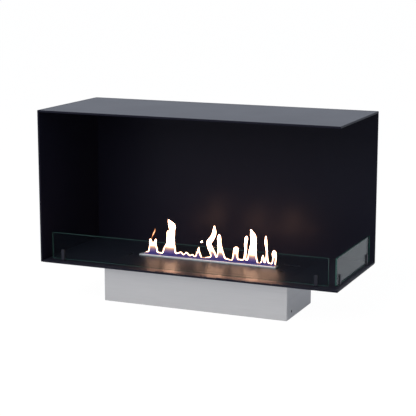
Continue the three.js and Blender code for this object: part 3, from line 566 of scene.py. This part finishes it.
def add_plate_screw(node, steel):
    """A countersunk screw with a hexagon socket in its head."""
    low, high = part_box(node)
    centre = (low + high) / 2
    radius = (high.x - low.x) / 2
    under = high.z - (radius - SCREW_SHANK)
    profile = [
        (SCREW_SHANK - SCREW_POINT[0], low.z, round_shape),
        (SCREW_SHANK, low.z + SCREW_POINT[1], round_shape),
        (SCREW_SHANK, under, round_shape),
        (radius - SCREW_RIM[0], high.z - SCREW_RIM[1], round_shape),
        (radius - SCREW_FACE, high.z, round_shape),
        (KEY_HALF + KEY_CHAMFER[0], high.z, hexagon_shape),
        (KEY_HALF, high.z - KEY_CHAMFER[1], hexagon_shape),
        (KEY_HALF, high.z - KEY_DEPTH, hexagon_shape),
        (KEY_END[0], high.z - KEY_END[1], round_shape),
    ]
    screw = turned("socket_" + node, profile, SCREW_SIDES, centre, steel)
    return dress(screw, "casing", "black_oxide_steel", node)


# ---- Flames ----

# Heights are in millimetres above the slot's rim, and x runs along the slot.
# Each tongue is a chain of points (x, height, half-width) that it passes through.
TONGUES = {
    "left_front": [(-200, -8, 12), (-198, 12, 11.5), (-198, 30, 8), (-202, 44, 3.6), (-203, 50, 1.2)],
    "left_rear": [(-188, -8, 14), (-187, 14, 11.5), (-187, 32, 7), (-184, 45, 3.6), (-184, 51, 1.2)],
    "left_wisp": [(-200, 46, 1.4), (-197, 56, 1.3), (-192, 68, 2.3), (-188, 78, 1.8), (-188, 87, 0.5)],
    "second": [
        (-135, -8, 27), (-134, 14, 23), (-131, 32, 17.5), (-130, 50, 14), (-127, 68, 11.5),
        (-124, 86, 10), (-123, 100, 11.5), (-128, 111, 7), (-134, 121, 1.5),
    ],
    "second_prong": [(-139, 45, 7), (-139, 62, 5.5), (-139.5, 75, 4), (-139, 83, 1.2)],
    "small": [(-30, -8, 14), (-31, 10, 9.5), (-31, 24, 4.6), (-29.5, 38, 1.2)],
    "spark": [(-24, 54, 1.6), (-20, 56, 2.1)],
    "curl": [
        (22, -8, 15), (21, 12, 10.5), (15, 28, 9), (8, 42, 8.5), (4.5, 55, 8.5), (12, 66, 8.5),
        (21, 78, 7.5), (26, 92, 7.2), (26, 104, 4), (26, 115, 0.8),
    ],
    "curl_neighbour": [
        (48, -8, 20), (47, 14, 14), (45, 34, 9.5), (42, 54, 6.6), (42, 72, 6.4), (43, 82, 3.8), (43, 87, 1),
    ],
    "round": [(98, -8, 15), (97, 12, 10.5), (98, 28, 8.8), (99.5, 42, 8.4)],
    "slim": [(130, -8, 9), (130, 18, 4.2), (132, 42, 3.7), (131, 62, 4.8), (133, 79, 5.8), (133, 86, 2.2)],
    "tall": [
        (156, -8, 22), (155, 14, 17), (155, 38, 13.5), (157, 58, 10.5), (159, 78, 9.8),
        (158, 92, 10), (154, 104, 5.4), (150, 112, 1.2),
    ],
    "low": [(191, -8, 9), (191, 12, 6.2), (191, 23, 4.2), (191, 32, 1.2)],
    "needle": [
        (205, -8, 10), (204, 14, 5.8), (204.5, 34, 3.2), (204, 54, 2.8), (202.5, 74, 4.2), (202, 87, 3.0),
        (200, 97, 0.7),
    ],
    "last": [(223, -8, 8), (228, 10, 7), (230.5, 26, 6.8), (229.5, 39, 8), (228.5, 47, 4)],
}
# The low fire between the tongues: (x, height) along its top.
LOW_FIRE = [
    (-226, -6), (-220, 3), (-214, 8), (-170, 9), (-161, 8), (-108, 12), (-94, 17), (-83, 10), (-73, 18),
    (-61, 9), (-52, 13), (-43, 7), (-12, 6), (-2, 8), (33, 13), (67, 10), (85, 7), (108, 12),
    (119, 12), (137, 13), (176, 6), (184, 9), (198, 10), (217, 9), (227, 4), (233, -6),
]
FIRE_CELL = 1.3  # side of a square of the fire's grid
FIRE_FOOT = -17.5
FIRE_TOP = 126
FIRE_ENDS = (-232, 242)
TONGUE_STEPS = 14  # circles between two points of a tongue
THINNEST = 0.3  # radius of the smallest circle
LOW_FIRE_STEPS = 10
FAR_OUTSIDE = -1000
NO_LOW_FIRE = -40  # its top past the slot's ends
MERGE_SOFTNESS = 1.1  # how widely two tongues run into each other
OUTLINE_ROUNDS = 3
SLOPE_STEP = 0.05
GENTLEST_SLOPE = 0.2  # squared, so that no point jumps far
FLAME_THICKNESS = 2.6  # a flame's depth comes from this and its width
FLAME_FOOT_DEPTH = 4.6  # half the depth inside the slot
FLAME_FREE_DEPTH = 8.0  # half the largest depth above it
SWAY = 5.0  # how far the tips lean to the front or back, 100 above the rim
WISP_RIM = 0.42  # the wisp is darker than a rim of its width
SPARK_RIM = 0.9


def smooth_chain(points, steps):
    """Catmull-Rom points through a chain."""
    p = np.array(points, float)
    p = np.vstack([2 * p[0] - p[1], p, 2 * p[-1] - p[-2]])
    rows = []
    for a, b, c, d in zip(p, p[1:], p[2:], p[3:]):
        for t in np.linspace(0, 1, steps, endpoint=False):
            square, cube = 2 * a - 5 * b + 4 * c - d, 3 * b - a - 3 * c + d
            rows.append(0.5 * (2 * b + (c - a) * t + square * t**2 + cube * t**3))
    rows.append(p[-2])
    return np.array(rows)


def smoothstep(value, low, high):
    t = np.clip((value - low) / (high - low), 0, 1)
    return t * t * (3 - 2 * t)


def fire_depth(x, z):
    """How far inside the fire's outline each point lies, in millimetres, and in which tongue."""
    parts = []
    for chain in TONGUES.values():
        inside = np.full(x.shape, float(FAR_OUTSIDE))
        for cx, cz, radius in smooth_chain(chain, TONGUE_STEPS):
            inside = np.maximum(inside, max(radius, THINNEST) - np.hypot(x - cx, z - cz))
        parts.append(inside)
    along, top = smooth_chain(LOW_FIRE, LOW_FIRE_STEPS).T
    parts.append(np.interp(x, along, top, left=NO_LOW_FIRE, right=NO_LOW_FIRE) - z)
    stack = np.stack(parts) / MERGE_SOFTNESS
    peak = stack.max(0)
    return MERGE_SOFTNESS * (peak + np.log(np.exp(stack - peak).sum(0))), stack.argmax(0)


def fire_grid():
    """A flat grid over the fire, in millimetres.

    Points outside the outline, and those just inside it, move onto it. Returns the points, how far
    inside the fire they lie, which tongue they belong to, and which cells burn.
    """
    xs = np.arange(FIRE_ENDS[0], FIRE_ENDS[1] + FIRE_CELL, FIRE_CELL)
    zs = np.arange(FIRE_FOOT, FIRE_TOP + FIRE_CELL, FIRE_CELL)
    x, z = np.meshgrid(xs, zs, indexing="ij")
    depth, tongue = fire_depth(x, z)
    keep = depth > -FIRE_CELL * 0.5
    cells = keep[:-1, :-1] & keep[1:, :-1] & keep[:-1, 1:] & keep[1:, 1:]
    for _ in range(OUTLINE_ROUNDS):
        rise_x = fire_depth(x + SLOPE_STEP, z)[0] - fire_depth(x - SLOPE_STEP, z)[0]
        rise_z = fire_depth(x, z + SLOPE_STEP)[0] - fire_depth(x, z - SLOPE_STEP)[0]
        slope_x, slope_z = rise_x / (2 * SLOPE_STEP), rise_z / (2 * SLOPE_STEP)
        steep = np.maximum(slope_x**2 + slope_z**2, GENTLEST_SLOPE)
        near = keep & (depth < FIRE_CELL * 0.35)
        x = np.where(near, x - depth * slope_x / steep, x)
        z = np.where(near, z - depth * slope_z / steep, z)
        z = np.maximum(z, FIRE_FOOT)
        depth = np.where(near, fire_depth(x, z)[0], depth)
    return x, z, np.clip(depth, 0, None), tongue, cells


def fire_body(x, z, inside):
    """Half the fire's thickness at each point, and how far back its middle lies there."""
    foot = 1 - smoothstep(z, -2, 22)
    limit = FLAME_FOOT_DEPTH * foot + FLAME_FREE_DEPTH * (1 - foot)
    bulge = np.minimum(np.sqrt(inside * FLAME_THICKNESS), limit)
    rise = np.clip(z, 0, None) / 100
    middle = SWAY * rise * (np.sin(x / 23 + z / 31) + 0.5 * np.sin(x / 9.5 - z / 17))
    return bulge, middle


def fire_colours(z, inside, tongue):
    """How hot each point burns, and how far it lies from the rim's orange, both from 0 to 1."""
    white = smoothstep(z, 13, 46)
    band = (1 - smoothstep(inside, 1.8, 4.2)) * smoothstep(z, 1.5, 7)
    warm = np.clip(np.maximum(white, band * 0.95) + 0.28 * smoothstep(z, 4, 16), 0, 1)
    ring = smoothstep(inside, 0.0, 1.5)
    names = list(TONGUES)
    ring = np.where(tongue == names.index("left_wisp"), ring * WISP_RIM, ring)
    ring = np.where(tongue == names.index("spark"), SPARK_RIM, ring)
    return warm, ring


def add_flames(light, slot_top):
    """The whole fire as one thin body, whose front and rear skins meet at its outline."""
    x, z, inside, tongue, cells = fire_grid()
    bulge, middle = fire_body(x, z, inside)
    warm, ring = fire_colours(z, inside, tongue)
    used = np.zeros(x.shape, bool)
    for di in (0, 1):
        for dj in (0, 1):
            used[di:di + cells.shape[0], dj:dj + cells.shape[1]] |= cells
    number = -np.ones((2, *x.shape), int)
    vertices, warmth, rim = [], [], []
    for side, sign in enumerate((-1, 1)):
        for i, j in zip(*np.nonzero(used)):
            on_edge = inside[i, j] < 1e-3
            if side and on_edge:
                number[1, i, j] = number[0, i, j]
                continue
            number[side, i, j] = len(vertices)
            y = middle[i, j] + (0 if on_edge else sign * bulge[i, j])
            vertices.append((x[i, j] * MM, y * MM, slot_top + z[i, j] * MM))
            warmth.append(warm[i, j])
            rim.append(ring[i, j])
    faces = []
    for i, j in zip(*np.nonzero(cells)):
        corners = [(i, j), (i + 1, j), (i + 1, j + 1), (i, j + 1)]
        front = [number[0][c] for c in corners]
        rear = [number[1][c] for c in corners][::-1]
        faces += [front] if len(set(front)) > 2 else []
        faces += [rear] if len(set(rear)) > 2 and set(rear) != set(front) else []
    flames = new_piece("flames", vertices, faces, [light])
    for name, values in (("warmth", warmth), ("rim", rim)):
        attribute = flames.data.attributes.new(name, "FLOAT", "POINT")
        attribute.data.foreach_set("value", np.array(values, np.float32))
    with edited(flames) as mesh:
        bmesh.ops.dissolve_degenerate(mesh, dist=SAME_POINT, edges=mesh.edges)
        bmesh.ops.holes_fill(mesh, edges=[e for e in mesh.edges if e.is_boundary], sides=0)
        bmesh.ops.recalc_face_normals(mesh, faces=mesh.faces)
    for polygon in flames.data.polygons:
        polygon.use_smooth = True
    return dress(flames, "casing", "ceramic")


# ---- Stage and light ----

FLOOR_HALF = 60.0
FLOOR_GLOW = 1.03
FLOOR_WHITE = 0.95  # how much of the floor's white doesn't take the shadow
FLOOR_REFLECTED = 0.24  # the same, where a surface mirrors the floor
WORLD_STRENGTH = 0.42
SKY = (0.90, 0.965, 1.10)  # a little cool
LIT_POINT = (0, 0, 0.3)


def seen_directly(tree, mirrored=1.0):
    """1 for what the camera or a view through glass sees, mirrored in a reflection, and 0 for light."""
    path = tree.nodes.new("ShaderNodeLightPath")
    total = None
    for name, weight in (("Is Glossy Ray", mirrored), ("Is Camera Ray", 1.0), ("Is Transmission Ray", 1.0)):
        scaled = tree.nodes.new("ShaderNodeMath")
        scaled.operation = "MULTIPLY"
        scaled.inputs[1].default_value = weight
        tree.links.new(path.outputs[name], scaled.inputs[0])
        if total is None:
            total = scaled.outputs["Value"]
            continue
        either = tree.nodes.new("ShaderNodeMath")
        either.operation = "MAXIMUM"
        tree.links.new(total, either.inputs[0])
        tree.links.new(scaled.outputs["Value"], either.inputs[1])
        total = either.outputs["Value"]
    return total


def sky_or_white(tree):
    """White where the camera or a view through glass looks at it, and the sky's colour for the rest."""
    colour = tree.nodes.new("ShaderNodeMix")
    colour.data_type = "RGBA"
    tree.links.new(seen_directly(tree, 0.0), colour.inputs[0])
    colour.inputs[6].default_value = (*SKY, 1)
    colour.inputs[7].default_value = (1, 1, 1, 1)
    return colour.outputs[2]


def add_floor():
    half = FLOOR_HALF
    corners = [(-half, -half, 0), (half, -half, 0), (half, half, 0), (-half, half, 0)]
    paint = Paint("pale_floor", Roughness=0.9, Specular_IOR_Level=0.1)
    paint.set("Base Color", (0.86, 0.86, 0.87, 1))
    glow = paint.node("Emission", {"Strength": FLOOR_GLOW})
    paint.feed(glow.inputs["Color"], sky_or_white(paint.tree))
    seen = seen_directly(paint.tree, FLOOR_REFLECTED / FLOOR_WHITE)
    share = paint.node("Math", {0: seen, 1: FLOOR_WHITE}, operation="MULTIPLY")
    mixed = paint.node("MixShader", {0: share.outputs["Value"]})
    paint.feed(mixed.inputs[1], paint.shader.outputs["BSDF"])
    paint.feed(mixed.inputs[2], glow.outputs["Emission"])
    output = paint.tree.nodes["Material Output"]
    paint.feed(output.inputs["Surface"], mixed.outputs["Shader"])
    floor = new_piece("floor", corners, [(0, 1, 2, 3)], [paint.material], smooth=False)


def add_world():
    world = bpy.data.worlds.new("studio")
    bpy.context.scene.world = world
    world.use_nodes = True
    tree = world.node_tree
    background = tree.nodes["Background"]
    tree.links.new(sky_or_white(tree), background.inputs["Color"])
    strength = tree.nodes.new("ShaderNodeMapRange")
    tree.links.new(seen_directly(tree), strength.inputs["Value"])
    strength.inputs["To Min"].default_value = WORLD_STRENGTH
    strength.inputs["To Max"].default_value = 1.0
    tree.links.new(strength.outputs["Result"], background.inputs["Strength"])


def add_lamp(name, place, target, size, power):
    data = bpy.data.lights.new(name, "AREA")
    data.shape = "RECTANGLE"
    data.size, data.size_y = size
    data.energy = power
    lamp = bpy.data.objects.new(name, data)
    bpy.context.scene.collection.objects.link(lamp)
    lamp.location = place
    aim = Vector(target) - Vector(place)
    lamp.rotation_euler = aim.to_track_quat("-Z", "Y").to_euler()
    lamp.visible_transmission = False


# ---- Assembly ----

def paint_nodes(material, *names):
    for name in names:
        slots = NODES[name].material_slots
        if not slots:
            NODES[name].data.materials.append(material)
        for entry in NODES[name].material_slots:
            entry.material = material


def names_with(prefix):
    return [name for name in NODES if name.startswith(prefix)]


add_camera()

coat = powder_coat("wall_coat", 0.052, 0.325, 0.34, 0.03)
floor_coat = powder_coat("floor_coat", 0.33, 0.47, 0.49, 0.012)
clip_coat = powder_coat("clip_coat", 0.22, 0.34, 0.36, 0.012)
glass = clear_glass()
edge = glass_edge()
housing_steel = brushed_steel("housing_steel", (9, 9, 1500), (0.512, 0.498, 0.483), 0.46)
rim_steel = brushed_steel("rim_steel", (12, 1500, 1500), (0.82, 0.82, 0.87), 0.42)
tank_steel = brushed_steel("tank_steel", (12, 1100, 1100), (0.55, 0.55, 0.56), 0.34)
sheet_steel = mill_steel("sheet_steel", (0.50, 0.50, 0.51), 0.42)
turned_steel = mill_steel("turned_steel", (0.58, 0.57, 0.56), 0.30)
fire_steel = heated_steel()
black_steel = mill_steel("blackened_steel", (0.035, 0.035, 0.04), 0.45)
fibre = ceramic_fibre()
probe_ceramic = moulded_plastic("probe_ceramic", (0.72, 0.70, 0.66), 0.6, 700)
plastic = moulded_plastic("black_plastic", (0.034, 0.034, 0.037), 0.42)
lens_plastic = moulded_plastic("lens_plastic", (0.012, 0.012, 0.016), 0.16, 300)
silicone = soft_rubber("silicone", (0.022, 0.022, 0.024))
hose = soft_rubber("hose_rubber", (0.045, 0.04, 0.036))
board = circuit_board()

paint_nodes(coat, "top_panel", "left_panel", "back_panel", "filler_well", "hatch_pin")
paint_nodes(floor_coat, "floor_panel", "burner_plate", "filler_hatch", *names_with("clip_"))
paint_nodes(housing_steel, "housing_shell")
paint_nodes(rim_steel, "slot_rim")
paint_nodes(tank_steel, "fuel_tank")
paint_nodes(fire_steel, "burner_trough", "heat_shield", "flame_sensor")
paint_nodes(black_steel, "start_button", *names_with("plate_screw_"), *names_with("clip_screw_"))
paint_nodes(turned_steel, "filler_neck", "button_spring", "fuel_pump")
paint_nodes(sheet_steel, "board_tray", "pump_bracket")
paint_nodes(fibre, "ceramic_wick")
paint_nodes(probe_ceramic, "igniter")
paint_nodes(plastic, "power_inlet", "level_sensor", "level_float", "filler_cap", "button_switch")
paint_nodes(lens_plastic, "status_lens")
paint_nodes(silicone, "cap_seal", *names_with("liner_"))
paint_nodes(hose, "suction_hose", "delivery_hose", *names_with("wire_"))
paint_nodes(board, "control_board")
paint_nodes(glass, "front_glass", "side_glass")

soften("floor_panel", "casing", "black_steel", 0.45 * MM, coat)
for panel in ("top_panel", "left_panel", "back_panel"):
    soften(panel, "casing", "black_steel", 0.45 * MM)
soften("housing_shell", "casing", "brushed_steel", 0.6 * MM)
soften("slot_rim", "casing", "brushed_steel", 0.35 * MM)
soften("burner_plate", "casing", "black_steel", 0, coat)
soften("filler_hatch", "hatch", "black_steel", 0.25 * MM, coat)
soften("start_button", "button", "black_oxide_steel", 0.4 * MM)
soften("status_lens", "casing", "lens", 0.3 * MM)
add_cap(plastic)
for screw_node in names_with("plate_screw_"):
    add_plate_screw(screw_node, black_steel)
add_pane("front_glass", "front_glass", glass, edge)
add_pane("side_glass", "side_glass", glass, edge)
for clip_node in ("clip_front_left", "clip_front_right", "clip_side_front", "clip_side_rear"):
    add_clip(clip_node, clip_coat)
add_flames(flame_light(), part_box("slot_rim")[1].z)

add_floor()
add_world()
add_lamp("key", place=(-1.1, -3.7, 3.0), target=LIT_POINT, size=(3.6, 3.6), power=215)
add_lamp("fill", place=(3.2, -1.2, 2.2), target=LIT_POINT, size=(2.0, 2.0), power=8)
bpy.context.scene.view_settings.view_transform = "Standard"
